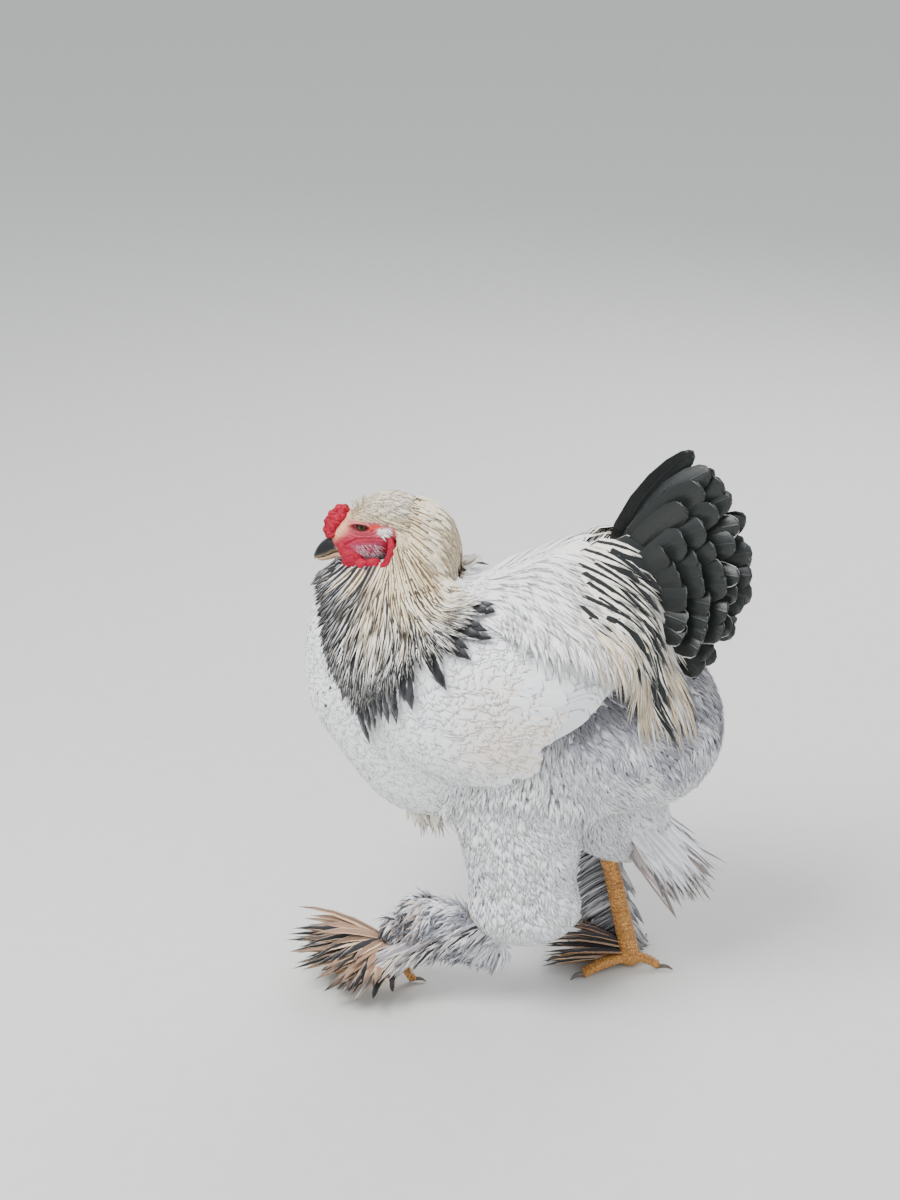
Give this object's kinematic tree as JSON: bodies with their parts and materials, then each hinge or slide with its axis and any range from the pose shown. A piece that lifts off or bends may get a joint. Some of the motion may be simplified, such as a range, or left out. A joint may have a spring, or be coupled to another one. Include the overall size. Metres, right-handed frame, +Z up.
{
  "type": "brahma cock",
  "caption": "Life-size light brahma cock in stride, with low pea comb, full hackle, folded wings, long saddle feathers, upright black tail and feathered feet.",
  "frame": {"origin": "on the floor, under the centre of the bounding box", "axes": "+Z up, -Y the way the bird faces, +X towards its left side"},
  "size_m": [0.27, 0.47, 0.5847],
  "materials": {
    "white_plumage": "soft",
    "cream_plumage": "soft",
    "black_plumage": "satin",
    "red_skin": "satin",
    "horn": "satin",
    "scaly_skin": "satin",
    "eye": "gloss",
    "down": "soft"
  },
  "bodies": {
    "root": {"torso": "white_plumage", "head": "cream_plumage", "comb": "red_skin", "beak_upper": "horn", "beak_lower": "horn", "saddle": "cream_plumage", "tail": "black_plumage", "neck": "cream_plumage", "left_eye": "eye", "left_wattle": "red_skin", "left_earlobe": "red_skin", "left_wing": "white_plumage", "left_thigh": "down", "left_shank": "scaly_skin", "left_foot": "scaly_skin", "left_claw_inner": "horn", "left_claw_middle": "horn", "left_claw_outer": "horn", "left_claw_hind": "horn", "right_eye": "eye", "right_wattle": "red_skin", "right_earlobe": "red_skin", "right_wing": "white_plumage", "right_thigh": "down", "right_shank": "scaly_skin", "right_foot": "scaly_skin", "right_claw_inner": "horn", "right_claw_middle": "horn", "right_claw_outer": "horn", "right_claw_hind": "horn"}
  },
  "joints": []
}
